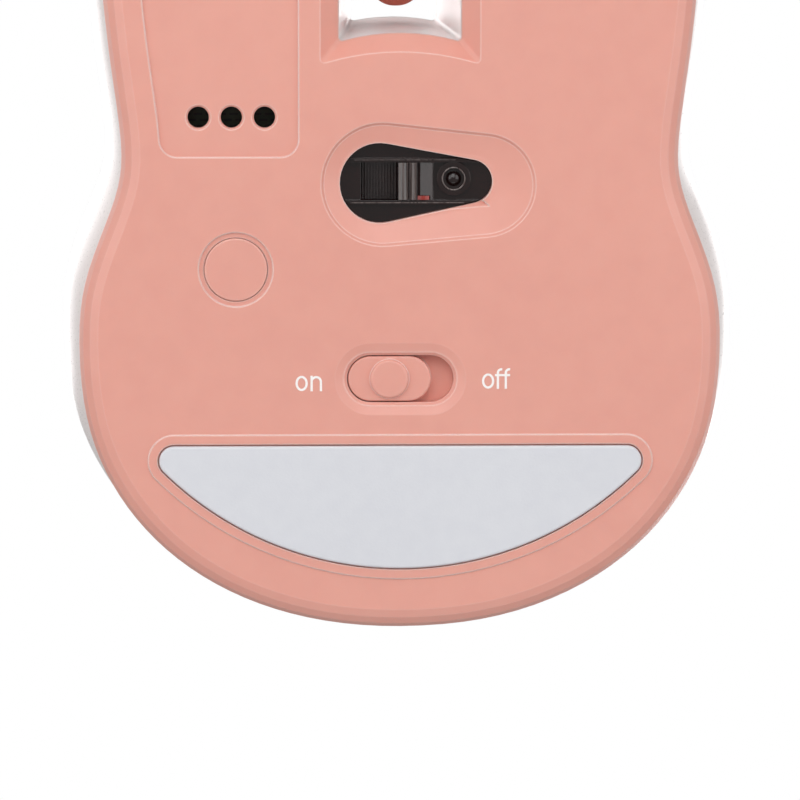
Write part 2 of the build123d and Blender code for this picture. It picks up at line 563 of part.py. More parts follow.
shell = upper_shell()
NODES = {
    "bottom_case": bottom_case(),
    "palm_cover": palm_cover(shell),
    "key_left": key(shell, -1),
    "key_right": key(shell, 1),
    "key_pin_left": rod_x(-22.3, -8.2, *KEY_AXIS, KEY_PIN_R),
    "key_pin_right": rod_x(8.2, 22.3, *KEY_AXIS, KEY_PIN_R),
    "window_liner": window_liner(),
    "wheel_tyre": wheel_tyre(),
    "wheel_hub": wheel_hub(),
    "wheel_axle": rod_x(-10.9, 14.9, WHEEL_Y, WHEEL_Z, AXLE_R),
    "wheel_carriage": wheel_carriage(),
    "carriage_spring_rear": coil(0, CARRIAGE_POSTS[0], 8.3, 11.7, 1.5, 0.22, 4),
    "carriage_spring_front": coil(0, CARRIAGE_POSTS[1], 8.3, 11.7, 1.5, 0.22, 4),
    "encoder_body": encoder_body(),
    "encoder_rotor": encoder_rotor(),
    "main_board": main_board(),
    "key_switch_left": micro_switch(-1),
    "key_switch_right": micro_switch(1),
    "key_plunger_left": micro_plunger(-1),
    "key_plunger_right": micro_plunger(1),
    "wheel_switch_body": tact_switch(-11.7, WHEEL_Y, BOARD_TOP),
    "wheel_switch_stem": tact_stem(-11.7, WHEEL_Y, BOARD_TOP - 0.05),
    "speed_button": dpi_button(),
    "speed_board": dpi_board(),
    "speed_switch_body": tact_switch(0, -1, 27.5),
    "speed_switch_stem": tact_stem(0, -1, 27.5),
    "sensor_lens": sensor_lens(),
    "sensor_chip": sensor_ic(),
    "sensor_lamp": led(),
    "lamp_clip": led_clip(),
    "radio_chip": chip(18.2, -4.6, 6.4, 1.1),
    "crystal": crystal(18.5, 4.2),
    "charging_port": charging_port(),
    "power_slider": power_slider(),
    "power_switch_body": power_switch_body(),
    "power_switch_lever": power_switch_lever(),
    "cell": cell(),
    "cell_tape": block(-11.0, 11.0, -32.0, -16.0, BOARD_TOP, 9.0),
    "cell_lead_red": lead(-10.9),
    "cell_lead_black": lead(-12.3),
    "rear_foot": foot(rear_foot_plan()),
    "front_foot_left": foot(front_foot_plan_left()),
    "front_foot_right": foot(front_foot_plan_right()),
    "screw_plug": screw_plug(),
}
for i, (sx, sy) in enumerate(CASE_SCREWS):
    NODES[f"case_screw_{i + 1}"] = screw(sx, sy, 2.2, 3.6, 13.6, 2.2, 1.1)
for i, (sx, sy) in enumerate(BOARD_SCREWS):
    NODES[f"board_screw_{i + 1}"] = screw(sx, sy, BOARD_TOP + 1.2, BOARD_TOP, 4.0, 2.0, 0.8)

for name, shape in NODES.items():
    save(name, shape)
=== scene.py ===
"""A cordless optical mouse on its feet: looks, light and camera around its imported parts.
Metres, +Z up, +Y the button end."""

import math

import bpy
import numpy as np
from mathutils import Matrix, Vector


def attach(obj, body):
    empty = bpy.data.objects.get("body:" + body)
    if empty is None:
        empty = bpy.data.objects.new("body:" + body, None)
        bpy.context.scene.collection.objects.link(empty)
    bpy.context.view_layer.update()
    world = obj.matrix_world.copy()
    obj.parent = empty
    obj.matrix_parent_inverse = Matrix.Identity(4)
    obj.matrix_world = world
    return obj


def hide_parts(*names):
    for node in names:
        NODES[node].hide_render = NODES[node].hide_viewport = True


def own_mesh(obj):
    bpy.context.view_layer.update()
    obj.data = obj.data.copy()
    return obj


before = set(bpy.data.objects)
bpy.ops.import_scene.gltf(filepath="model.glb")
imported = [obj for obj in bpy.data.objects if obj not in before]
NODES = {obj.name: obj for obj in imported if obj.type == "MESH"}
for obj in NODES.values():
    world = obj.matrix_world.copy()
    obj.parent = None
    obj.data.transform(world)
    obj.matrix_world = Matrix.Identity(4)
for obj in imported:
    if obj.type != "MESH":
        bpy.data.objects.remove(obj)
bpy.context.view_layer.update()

MM = 0.001
FACE_Z = 0.5 * MM  # underside of the case

# The scroll tyre: where its axle is, then its own sizes.
WHEEL_CENTRE = (0.0, 21.7 * MM, 20.5 * MM)
TYRE_RADIUS, TYRE_WIDTH, TYRE_CROWN, TYRE_RIM = 12.0 * MM, 6.0 * MM, 2.0 * MM, 9.25 * MM
CROWN_POWER = 2.4

# Printed words: stroke width, how far the ink stands off the case, and how much further each next stroke.
PRINT_STROKE, PRINT_HEIGHT, PRINT_STEP = 0.23 * MM, 0.02 * MM, 0.003 * MM
ON_START, OFF_START = (10.54 * MM, -28.4 * MM), (-8.14 * MM, -28.2 * MM)

# Carriage springs, in millimetres: where they stand, the coil's ends, radius, wire radius and turns.
SPRING_Y = {"rear": 3.3, "front": 40.1}
COIL_LOW, COIL_HIGH, COIL_RADIUS, COIL_WIRE, COIL_TURNS = 8.3, 11.7, 1.5, 0.22, 4

# Sensor optics, in millimetres: where the prism's bars start and end in y, and the bars' flat back in z.
PRISM_Y = (-9.3, -5.6)
OPTICS_BACK = 1.79

FLOOR_HALF, FLOOR_Z = 1.6, -0.00005
FLOOR_FADE = (0.12, 0.7)  # distances at which the floor starts and stops turning into the white room

# Soft boxes: place, aim, side in metres, power in watts.
LIGHTS = {
    "under_key": ((0.05, 0.33, -0.52), (0, 0, 0), 0.4, 1.15),
    "under_left": ((0.42, 0.12, -0.36), (0, -0.02, 0), 0.45, 1.0),
    "under_right": ((-0.42, 0.12, -0.36), (0, -0.02, 0), 0.45, 0.95),
    "under_front": ((0.0, 0.45, -0.26), (0, 0, 0.0), 0.35, 0.2),
    "under_rear": ((0.0, -0.50, -0.24), (0, 0, 0.0), 0.35, 0.2),
    "top_left": ((-0.30, -0.18, 0.75), (0, 0, 0.02), 0.5, 2.2),
    "top_right": ((0.34, 0.10, 0.70), (0, 0, 0.02), 0.5, 2.2),
    "top_front": ((0.1, 0.45, 0.55), (0, 0, 0.02), 0.4, 1.2),
}
ROOM_LIGHT, ROOM_SEEN = 0.4, 1.0  # strength of the white room as a light, and as the camera sees it

# Finishes: how much finer the second noise of a tone is than the first, how fast an edge's painted highlight
# rises for each unit of its share, the heights that bumps count for, the scale of dusty patches, and where
# most noise lies.
FINE_TIMES = 14.0
EDGE_GAIN = 8
WAVE_HEIGHT, GRAIN_HEIGHT, LINE_HEIGHT = 0.001, 0.00005, 0.00002
DUST_PATCHES = 120.0
NOISE_RANGE = (0.3, 0.7)

CAMERA_PLACE = (12.7 * MM, 20.0 * MM, -500.0 * MM)
CAMERA_AIM = (0.05 * MM, -29.3 * MM, FACE_Z)
CAMERA_LENS, CAMERA_SENSOR, CAMERA_CLIP = 226.0, 36.0, (0.01, 20.0)


# ---- surfaces ------------------------------------------------------------------------------
def grid_faces(rows, columns, wrap_rows=False, wrap_columns=False):
    """Quads between neighbouring rows and columns of a grid of points, joined round where it wraps."""
    i = np.arange(rows if wrap_rows else rows - 1)[:, None]
    j = np.arange(columns if wrap_columns else columns - 1)[None, :]
    a, b = i * columns + j, i * columns + (j + 1) % columns
    c, d = (i + 1) % rows * columns + (j + 1) % columns, (i + 1) % rows * columns + j
    return np.stack([a, d, c, b], axis=-1).reshape(-1, 4)


def capped(rows, columns):
    """Faces of a tube of that many rows of points, each a loop of columns, with both ends closed."""
    n = rows * columns
    ends = [list(range(columns)), list(range(n - 1, n - columns - 1, -1))]
    return grid_faces(rows, columns, wrap_columns=True).tolist() + ends


def piece(name, points, faces, body, material, smooth=True):
    """A mesh object of those points and faces, at the origin, riding on a body."""
    mesh = bpy.data.meshes.new(name)
    mesh.from_pydata(np.asarray(points).reshape(-1, 3).tolist(), [], [list(map(int, f)) for f in faces])
    mesh.polygons.foreach_set("use_smooth", np.full(len(mesh.polygons), smooth))
    mesh.materials.append(material)
    mesh.update()
    obj = bpy.data.objects.new(name, mesh)
    bpy.context.scene.collection.objects.link(obj)
    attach(obj, body)
    return obj


def ribbon(path, width, top, bottom):
    """A flat closed ribbon: the path's points, as x and y, moved by plus and minus half the width along its
    in-plane normal, once at each of two heights."""
    path = np.asarray(path, float)
    tangent = np.gradient(path, axis=0)
    tangent /= np.linalg.norm(tangent, axis=1)[:, None]
    normal = np.stack([-tangent[:, 1], tangent[:, 0]], axis=1) * width / 2
    corners = [np.column_stack([path + s * normal, np.full(len(path), z)])
               for s, z in ((1, top), (1, bottom), (-1, bottom), (-1, top))]
    points = np.stack(corners, axis=1)
    return points.reshape(-1, 3), capped(len(path), 4)


def joined(parts):
    """Several point and face lists as one."""
    points, faces, start = [], [], 0
    for p, f in parts:
        points.append(p)
        faces += [[k + start for k in face] for face in f]
        start += len(p)
    return np.concatenate(points), faces


def arc(cx, cy, rx, ry, start, end, count):
    """Points of an elliptical arc: centre plus radii times cosine and sine of the angle, in degrees."""
    a = np.radians(np.linspace(start, end, count))
    return np.column_stack([cx + rx * np.cos(a), cy + ry * np.sin(a)])


def line(x0, y0, x1, y1, count=8):
    """Evenly spaced points from one end to the other."""
    return np.column_stack([np.linspace(x0, x1, count), np.linspace(y0, y1, count)])


def word(strokes, x, y):
    """Printed strokes as read from below: millimetre paths along the reading direction, turned over in x.
    Each next stroke stands a little prouder, so that no two share a face where they cross."""
    parts = []
    for i, stroke in enumerate(strokes):
        flat = np.column_stack([x - stroke[:, 0] * MM, y + stroke[:, 1] * MM])
        parts.append(ribbon(flat, PRINT_STROKE, FACE_Z, FACE_Z - PRINT_HEIGHT - i * PRINT_STEP))
    return joined(parts)


# A letter is a list of strokes, in millimetres from the word's start and above its baseline.
def letter_o(at):
    return [arc(at + 0.64, 0.79, 0.50, 0.65, 90, 450, 48)]


def letter_n(at):
    shoulder = arc(at + 0.465, 0.95, 0.465, 0.47, 172, 0, 18)
    return [line(at, 0.0, at, 1.56), np.vstack([shoulder, line(at + 0.93, 0.90, at + 0.93, 0.0)])]


def letter_f(at):
    """The stem and hook alone: one cross stroke runs through both letters f of the word."""
    return [np.vstack([line(at, 0.0, at, 1.58), arc(at + 0.36, 1.62, 0.36, 0.34, 178, 78, 12)])]


def crowned_tyre(radius, width, depth, rim):
    """A crowned ring: at w of its half width the outside radius is the full one less depth times |w| to the
    crown's power, then flat sides run in to the rim, and that profile turns about the axle."""
    across, along_rim, turns = 33, 7, 120
    w = np.linspace(-1, 1, across)
    outside = np.column_stack([w * width / 2, radius - depth * np.abs(w) ** CROWN_POWER])
    inside = np.column_stack([np.linspace(width / 2, -width / 2, along_rim), np.full(along_rim, rim)])
    profile = np.vstack([outside, inside])
    turn = np.linspace(0, 2 * math.pi, turns + 1)[:-1]
    x = np.broadcast_to(profile[:, 0], (turns, len(profile)))
    y = WHEEL_CENTRE[1] + profile[:, 1] * np.cos(turn)[:, None]
    z = WHEEL_CENTRE[2] + profile[:, 1] * np.sin(turn)[:, None]
    return np.stack([x + WHEEL_CENTRE[0], y, z], axis=-1), grid_faces(turns, len(profile), True, True)


# ---- shader building -----------------------------------------------------------------------
def linear(r, g, b):
    """Display values from 0 to 255 as linear light."""
    c = np.array([r, g, b]) / 255.0
    return (*np.where(c <= 0.04045, c / 12.92, ((c + 0.055) / 1.055) ** 2.4), 1.0)


def feed(tree, socket, value):
    """Gives a socket its value, or links it from the socket given."""
    if isinstance(value, bpy.types.NodeSocket):
        tree.links.new(value, socket)
    else:
        socket.default_value = value


def node(tree, kind, inputs=None, **settings):
    """One shader node: settings are its properties; inputs are values, or sockets to link from."""
    made = tree.nodes.new(kind)
    for key, value in settings.items():
        setattr(made, key, value)
    for key, value in (inputs or {}).items():
        feed(tree, made.inputs[key], value)
    return made


def object_place(tree):
    """Where a point is in the object's own metres."""
    return node(tree, "ShaderNodeTexCoord").outputs["Object"]


def noise(tree, place, scale, detail):
    """Noise from about 0.3 to 0.7 at a place."""
    inputs = {"Vector": place, "Scale": scale, "Detail": detail}
    return node(tree, "ShaderNodeTexNoise", inputs).outputs["Fac"]


def remap(tree, value, to=(0.0, 1.0), source=(0.0, 1.0), **settings):
    """The value carried from the source range to the other, and held at its ends."""
    ranges = {"From Min": source[0], "From Max": source[1], "To Min": to[0], "To Max": to[1]}
    return node(tree, "ShaderNodeMapRange", {"Value": value, **ranges}, **settings).outputs["Result"]


def reckon(tree, operation, first, second, **settings):
    """Two values put together by a Math node."""
    return node(tree, "ShaderNodeMath", {0: first, 1: second}, operation=operation, **settings).outputs[0]


def blended(tree, share, first, second):
    """Two colours mixed, with that share of the second."""
    return node(tree, "ShaderNodeMix", {0: share, 6: first, 7: second}, data_type="RGBA").outputs[2]


def bumped(tree, strength, distance, height, normal):
    """A normal tilted by a height, which counts for that distance."""
    inputs = {"Strength": strength, "Distance": distance, "Height": height, "Normal": normal}
    return node(tree, "ShaderNodeBump", inputs).outputs[0]


def softened(tree, radius):
    """The normal as if edges were rounded to that radius."""
    return node(tree, "ShaderNodeBevel", {"Radius": radius}, samples=6).outputs["Normal"]


def effect(name, inputs, outputs):
    """An empty shader node group with named sockets, {name: (socket type, default)} in and
    {name: socket type} out."""
    tree = bpy.data.node_groups.new(name, "ShaderNodeTree")
    for label, (kind, value) in inputs.items():
        socket = tree.interface.new_socket(label, in_out="INPUT", socket_type=f"NodeSocket{kind}")
        socket.default_value = value
    for label, kind in outputs.items():
        tree.interface.new_socket(label, in_out="OUTPUT", socket_type=f"NodeSocket{kind}")
    return tree, tree.nodes.new("NodeGroupInput").outputs, tree.nodes.new("NodeGroupOutput").inputs


def tone_effect():
    """Colour drifting between two tones: broad noise plus finer noise, stretched to a mix by Amount."""
    white = (1, 1, 1, 1)
    tree, given, out = effect("moulded_tone",
                              {"Tone": ("Color", white), "Second Tone": ("Color", white),
                               "Scale": ("Float", 30.0), "Amount": ("Float", 0.5)},
                              {"Color": "Color", "Mask": "Float"})
    place = object_place(tree)
    broad = noise(tree, place, given["Scale"], 3.0)
    fine = noise(tree, place, reckon(tree, "MULTIPLY", given["Scale"], FINE_TIMES), 4.0)
    spread = remap(tree, reckon(tree, "ADD", broad, fine), source=(0.75, 1.25))
    mask = reckon(tree, "MULTIPLY", spread, given["Amount"])
    tree.links.new(blended(tree, mask, given["Tone"], given["Second Tone"]), out["Color"])
    tree.links.new(mask, out["Mask"])
    return tree


def grain_effect():
    """Surface normal of a moulded part: edges softened to a radius, a broad low wave, then fine grain."""
    tree, given, out = effect("moulded_grain",
                              {"Edge Radius": ("Float", 0.0002), "Scale": ("Float", 4000.0),
                               "Depth": ("Float", 0.1), "Wave Scale": ("Float", 60.0),
                               "Wave": ("Float", 0.02)},
                              {"Normal": "Vector", "Height": "Float"})
    place = object_place(tree)
    fine = noise(tree, place, given["Scale"], 3.0)
    wave = noise(tree, place, given["Wave Scale"], 1.0)
    low = bumped(tree, given["Wave"], WAVE_HEIGHT, wave, softened(tree, given["Edge Radius"]))
    tree.links.new(bumped(tree, given["Depth"], GRAIN_HEIGHT, fine, low), out["Normal"])
    tree.links.new(fine, out["Height"])
    return tree


def edge_effect():
    """Where a part's edges are, as a mask for painted edge highlights: how far the softened normal leans from
    the true one.
    """
    tree, given, out = effect("painted_edge_highlight", {"Radius": ("Float", 0.0003), "Gain": ("Float", 4.0)},
                              {"Mask": "Float"})
    normals = {0: softened(tree, given["Radius"]), 1: node(tree, "ShaderNodeNewGeometry").outputs["Normal"]}
    lean = node(tree, "ShaderNodeVectorMath", normals, operation="DOT_PRODUCT").outputs["Value"]
    away = reckon(tree, "SUBTRACT", 1.0, lean)
    tree.links.new(reckon(tree, "MULTIPLY", away, given["Gain"], use_clamp=True), out["Mask"])
    return tree


def dust_effect():
    """Sparse specks: a cell pattern cut near its points, thinned by noise."""
    tree, given, out = effect("dust",
                              {"Scale": ("Float", 900.0), "Size": ("Float", 0.16), "Amount": ("Float", 0.5)},
                              {"Mask": "Float"})
    place = object_place(tree)
    cell = node(tree, "ShaderNodeTexVoronoi", {"Vector": place, "Scale": given["Scale"]}).outputs["Distance"]
    speck = reckon(tree, "LESS_THAN", cell, given["Size"])
    thin = remap(tree, noise(tree, place, DUST_PATCHES, 4.0), source=(0.52, 0.7))
    both = reckon(tree, "MULTIPLY", speck, thin)
    tree.links.new(reckon(tree, "MULTIPLY", both, given["Amount"]), out["Mask"])
    return tree


def brushed_effect():
    """Fine lines along one axis: noise stretched by Stretch, as itself and as a value from Low to High."""
    tree, given, out = effect("brushed_lines",
                              {"Stretch": ("Vector", (30, 4000, 4000)), "Low": ("Float", 0.25),
                               "High": ("Float", 0.45)},
                              {"Value": "Float", "Height": "Float"})
    pulled = node(tree, "ShaderNodeVectorMath", {0: object_place(tree), 1: given["Stretch"]},
                  operation="MULTIPLY").outputs[0]
    lines = noise(tree, pulled, 1.0, 4.0)
    value = remap(tree, lines, (given["Low"], given["High"]), NOISE_RANGE)
    tree.links.new(value, out["Value"])
    tree.links.new(lines, out["Height"])
    return tree


TONE, GRAIN, EDGES = tone_effect(), grain_effect(), edge_effect()
DUST, BRUSHED = dust_effect(), brushed_effect()


def finish(name, shader=None):
    """A material with a Principled shader whose own sockets hold the uniform values.
    Returns the material, its tree and the shader."""
    material = bpy.data.materials.new(name)
    material.use_nodes = True
    tree = material.node_tree
    principled = tree.nodes["Principled BSDF"]
    for key, value in (shader or {}).items():
        principled.inputs[key].default_value = value
    return material, tree, principled


def use(tree, group, **values):
    """The group placed in a material with its own values; underscores in names stand for spaces."""
    made = tree.nodes.new("ShaderNodeGroup")
    made.node_tree = group
    for key, value in values.items():
        feed(tree, made.inputs[key.replace("_", " ")], value)
    return made.outputs


def surface(tree, principled, colour, rough, normal=None):
    """Links what varies over the surface into the shader."""
    tree.links.new(colour, principled.inputs["Base Color"])
    tree.links.new(rough, principled.inputs["Roughness"])
    if normal is not None:
        tree.links.new(normal, principled.inputs["Normal"])


def moulded(name, tone, second, rough=(0.3, 0.4), amount=0.6, grain=0.12, edge=0.00022, edge_highlight_tone=None,
            edge_share=0.4, dust_tone=None, scale=26.0, shader=None):
    """A moulded plastic or rubber: drifting tone, softened edges and fine grain, and where their tones are
    given, a painted highlight along the edges and a little dust."""
    material, tree, principled = finish(name, shader)
    mixed = use(tree, TONE, Tone=tone, Second_Tone=second, Scale=scale, Amount=amount)["Color"]
    # Painted highlight: the edge mask mixes the paler edge tone into the colour.
    if edge_highlight_tone is not None:
        mask = use(tree, EDGES, Radius=edge, Gain=edge_share * EDGE_GAIN)["Mask"]
        mixed = blended(tree, reckon(tree, "MINIMUM", mask, edge_share), mixed, edge_highlight_tone)
    if dust_tone is not None:
        mixed = blended(tree, use(tree, DUST)["Mask"], mixed, dust_tone)
    skin = use(tree, GRAIN, Edge_Radius=edge, Depth=grain)
    surface(tree, principled, mixed, remap(tree, skin["Height"], rough, NOISE_RANGE), skin["Normal"])
    return material


def toned(name, shader, tone, second, scale, amount, rough, edge=None, grain=0.1):
    """A smooth finish in two drifting tones, whose roughness drifts with them. Its edges are softened, with
    some grain, only where an edge radius is given."""
    material, tree, principled = finish(name, shader)
    colour = use(tree, TONE, Tone=tone, Second_Tone=second, Scale=scale, Amount=amount)
    normal = None if edge is None else use(tree, GRAIN, Edge_Radius=edge, Depth=grain)["Normal"]
    surface(tree, principled, colour["Color"], remap(tree, colour["Mask"], rough), normal)
    return material, tree, principled


# ---- the mouse's finishes --------------------------------------------------------------------
def salmon_abs():
    # The paler edge tone is a painted highlight along the edges, strong on this part.
    return moulded("salmon_abs", linear(233, 167, 152), linear(228, 161, 147), rough=(0.30, 0.38), amount=0.7,
                   grain=0.05, edge_highlight_tone=linear(255, 232, 226), edge_share=0.85,
                   shader={"Subsurface Weight": 0.15, "Subsurface Radius": (0.004, 0.0015, 0.001),
                           "Subsurface Scale": 0.3, "IOR": 1.5})


def white_abs():
    # The paler edge tone is a painted highlight along the edges; the darker specks are dust.
    return moulded("white_abs", linear(240, 232, 230), linear(235, 225, 223), rough=(0.26, 0.34), grain=0.06,
                   edge=0.0002, edge_highlight_tone=linear(250, 249, 248), dust_tone=linear(225, 221, 218),
                   shader={"Subsurface Weight": 0.12, "Subsurface Radius": (0.002, 0.002, 0.002),
                           "Subsurface Scale": 0.3, "IOR": 1.5})


def milky_liner():
    # The paler edge tone is a painted highlight along the edges.
    return moulded("milky_liner", linear(252, 244, 243), linear(246, 236, 234), rough=(0.28, 0.4), grain=0.1,
                   edge_highlight_tone=linear(250, 246, 245),
                   shader={"Subsurface Weight": 0.5, "Subsurface Radius": (0.004, 0.003, 0.003),
                           "Subsurface Scale": 0.4, "IOR": 1.49})


def slick_foot():
    # The paler edge tone is a painted highlight along the edges.
    return moulded("slick_foot", linear(221, 222, 227), linear(216, 217, 223), rough=(0.42, 0.55), amount=0.8,
                   grain=0.25, edge=0.00015, edge_highlight_tone=linear(236, 237, 240), scale=40.0,
                   shader={"Subsurface Weight": 0.2, "Subsurface Radius": (0.001, 0.001, 0.001),
                           "Subsurface Scale": 0.3})


def terracotta_rubber():
    # The paler edge tone is a painted highlight along the edges; the pale specks are dust.
    return moulded("terracotta_rubber", linear(226, 124, 102), linear(214, 112, 92), rough=(0.55, 0.72),
                   amount=0.8, grain=0.5, edge_highlight_tone=linear(212, 134, 116), dust_tone=linear(216, 160, 146),
                   shader={"IOR": 1.42})


def pale_plastic():
    return moulded("pale_plastic", linear(222, 214, 210), linear(206, 198, 194), rough=(0.4, 0.5), grain=0.2)


def black_plastic():
    # The lighter edge tone is a painted highlight along the edges; the pale specks are dust.
    return moulded("black_plastic", linear(34, 32, 32), linear(22, 21, 21), rough=(0.42, 0.55), grain=0.3,
                   edge_highlight_tone=linear(70, 66, 64), dust_tone=linear(90, 84, 80))


def red_plunger():
    return moulded("red_plunger", linear(186, 50, 42), linear(160, 38, 32), rough=(0.35, 0.45), grain=0.2)


def print_ink():
    return moulded("print_ink", linear(255, 250, 248), linear(250, 242, 239), rough=(0.5, 0.6), amount=0.8,
                   grain=0.1, edge=0.00002, scale=300.0)


def board_laminate():
    """Dark green laminate: rows of copper tracks under the mask, as a brick pattern cut thin."""
    material, tree, principled = finish("board_laminate", {"IOR": 1.5})
    black, white = (0, 0, 0, 1), (1, 1, 1, 1)
    bricks = {"Vector": object_place(tree), "Scale": 420.0, "Mortar Size": 0.08,
              "Color1": black, "Color2": black, "Mortar": white}
    tracks = node(tree, "ShaderNodeTexBrick", bricks).outputs["Color"]
    ground = use(tree, TONE, Tone=linear(20, 34, 24), Second_Tone=linear(12, 24, 16), Scale=60.0, Amount=0.8)
    skin = use(tree, GRAIN, Depth=0.2, Edge_Radius=0.0001)
    surface(tree, principled, blended(tree, tracks, ground["Color"], linear(44, 62, 36)),
            remap(tree, skin["Height"], (0.3, 0.5)), skin["Normal"])
    return material


def plain_metal(name, tone, second, stretch, rough=(0.2, 0.4)):
    """Bare metal with a drifting tone, softened edges and fine drawn lines."""
    material, tree, principled = finish(name, {"Metallic": 1.0})
    colour = use(tree, TONE, Tone=tone, Second_Tone=second, Scale=80.0, Amount=0.7)["Color"]
    lines = use(tree, BRUSHED, Stretch=stretch, Low=rough[0], High=rough[1])
    soft = use(tree, GRAIN, Edge_Radius=0.00012, Depth=0.1)["Normal"]
    surface(tree, principled, colour, lines["Value"], bumped(tree, 0.15, LINE_HEIGHT, lines["Height"], soft))
    return material


def clear_optics_painted_shade():
    """Clear acrylic with painted shade: its dark brown tones stand in for the shaded cavity seen through it,
    with faint haze.
    """
    return toned("clear_optics_painted_shade", {"Transmission Weight": 0.3, "IOR": 1.49, "Specular IOR Level": 0.6},
                 linear(46, 27, 26), linear(24, 13, 12), 260.0, 0.9, rough=(0.06, 0.2), edge=0.00012)[0]


def optics_painted_highlight():
    """A lit copy of the same acrylic with painted highlight: greyer, with painted highlight streaks along the
    bars.
    """
    material, tree, principled = finish("optics_painted_highlight", {"IOR": 1.5, "Specular IOR Level": 0.8})
    streak = use(tree, BRUSHED, Stretch=(5200, 260, 260), Low=0.0, High=1.0)
    surface(tree, principled, blended(tree, streak["Value"], linear(34, 24, 23), linear(112, 100, 97)),
            remap(tree, streak["Height"], (0.08, 0.25)))
    return material


def red_glint():
    """A painted glint where the lamp's light leaves the prism: dull red, paler in patches, and glowing
    faintly though the piece is no lamp.
    """
    return toned("red_glint", {"IOR": 1.5, "Emission Strength": 0.15,
                               "Emission Color": (0.5, 0.04, 0.02, 1.0)},
                 linear(150, 52, 44), linear(96, 34, 30), 900.0, 0.9, rough=(0.1, 0.3))[0]


def red_lamp():
    """A red clear lamp, glowing faintly."""
    return toned("red_lamp", {"Transmission Weight": 0.5, "IOR": 1.5, "Emission Strength": 0.1,
                              "Emission Color": (0.9, 0.03, 0.02, 1.0)},
                 linear(220, 40, 34), linear(180, 26, 24), 200.0, 0.6, rough=(0.1, 0.25))[0]


def floor_paint():
    """Pale floor paint that fades into the white room with distance, and shows only its upper side,
    so that the object can be seen from below."""
    material, tree, principled = toned("floor_paint", {"Specular IOR Level": 0.2}, linear(246, 245, 243),
                                       linear(242, 241, 239), 6.0, 0.6, rough=(0.55, 0.7))
    away = node(tree, "ShaderNodeVectorMath", {0: object_place(tree)}, operation="LENGTH").outputs["Value"]
    fade = remap(tree, away, source=FLOOR_FADE, interpolation_type="SMOOTHSTEP")
    room = node(tree, "ShaderNodeEmission", {"Color": (1, 1, 1, 1), "Strength": ROOM_SEEN}).outputs[0]
    faded = node(tree, "ShaderNodeMixShader", {0: fade, 1: principled.outputs[0], 2: room}).outputs[0]
    back = node(tree, "ShaderNodeNewGeometry").outputs["Backfacing"]
    clear = node(tree, "ShaderNodeBsdfTransparent").outputs[0]
    shown = node(tree, "ShaderNodeMixShader", {0: back, 1: faded, 2: clear}).outputs[0]
    tree.links.new(shown, tree.nodes["Material Output"].inputs["Surface"])
    return material


def paint_nodes():
    """Gives every CAD node its finish."""
    steel = plain_metal("drawn_steel", linear(196, 194, 190), linear(176, 174, 172), (60, 5000, 5000))
    foil = plain_metal("cell_foil", linear(190, 192, 198), linear(172, 174, 180), (400, 400, 400),
                       rough=(0.35, 0.5))
    given = {
        salmon_abs(): ["bottom_case", "power_slider", "screw_plug"],
        white_abs(): ["palm_cover", "key_left", "key_right", "speed_button"],
        milky_liner(): ["window_liner"],
        slick_foot(): ["rear_foot", "front_foot_left", "front_foot_right"],
        steel: ["key_pin_left", "key_pin_right", "wheel_axle", "carriage_spring_rear",
                "carriage_spring_front", "crystal", "charging_port", "power_switch_body",
                *[n for n in NODES if "_screw_" in n]],
        board_laminate(): ["main_board", "speed_board"],
        black_plastic(): ["encoder_body", "key_switch_left", "key_switch_right", "wheel_switch_body",
                          "speed_switch_body", "sensor_chip", "lamp_clip", "radio_chip", "power_switch_lever",
                          "cell_tape"],
        red_plunger(): ["key_plunger_left", "key_plunger_right", "wheel_switch_stem", "speed_switch_stem"],
        pale_plastic(): ["wheel_hub", "wheel_carriage", "encoder_rotor"],
        clear_optics_painted_shade(): ["sensor_lens"],
        red_lamp(): ["sensor_lamp"],
        foil: ["cell"],
        moulded("lead_red", linear(176, 34, 30), linear(150, 26, 24), rough=(0.4, 0.5)): ["cell_lead_red"],
        moulded("lead_black", linear(30, 30, 32), linear(20, 20, 22), rough=(0.4, 0.5)): ["cell_lead_black"],
    }
    for material, names in given.items():
        for name in names:
            mesh = NODES[name].data
            mesh.materials.clear()
            mesh.materials.append(material)


def wheel_pieces():
    """The rubber tyre, a crowned ring about the axle."""
    points, faces = crowned_tyre(TYRE_RADIUS, TYRE_WIDTH, TYRE_CROWN, TYRE_RIM)
    tyre = piece("scroll_tyre", points, faces, "wheel", terracotta_rubber())
    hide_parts("wheel_tyre")


def coil_spring(x, y, low, high, radius, wire, turns):
    """A closed coil, in millimetres: the wire's circle of points, in the radial and binormal directions,
    carried up a helix."""
    around, steps = 10, 36  # points round the wire, and steps in each turn
    t = np.linspace(0, 1, steps * turns + 1)
    turn = 2 * math.pi * turns * t
    radial = np.column_stack([np.cos(turn), np.sin(turn), np.zeros_like(t)])
    climb = (high - low) / (2 * math.pi * turns * radius)
    along = np.column_stack([-np.sin(turn), np.cos(turn), np.full_like(t, climb)]) / math.hypot(1, climb)
    across = np.cross(radial, along)
    centre = np.array([x, y, 0]) + radius * radial + np.outer(low + (high - low) * t, [0, 0, 1])
    phi = np.linspace(0, 2 * math.pi, around + 1)[:-1][None, :, None]
    points = centre[:, None] + wire * (np.cos(phi) * radial[:, None] + np.sin(phi) * across[:, None])
    return points.reshape(-1, 3) * MM, capped(len(t), around)


def spring_pieces():
    """The carriage's two springs, coiled up from their fixed lower ends at one length, though in the mouse
    they shorten as the wheel is pressed.
    """
    for name, y in SPRING_Y.items():
        points, faces = coil_spring(0.0, y, COIL_LOW, COIL_HIGH, COIL_RADIUS, COIL_WIRE, COIL_TURNS)
        spring = piece(f"coil_{name}", points, faces, "mouse", bpy.data.materials["drawn_steel"])
        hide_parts(f"carriage_spring_{name}")
        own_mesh(spring)


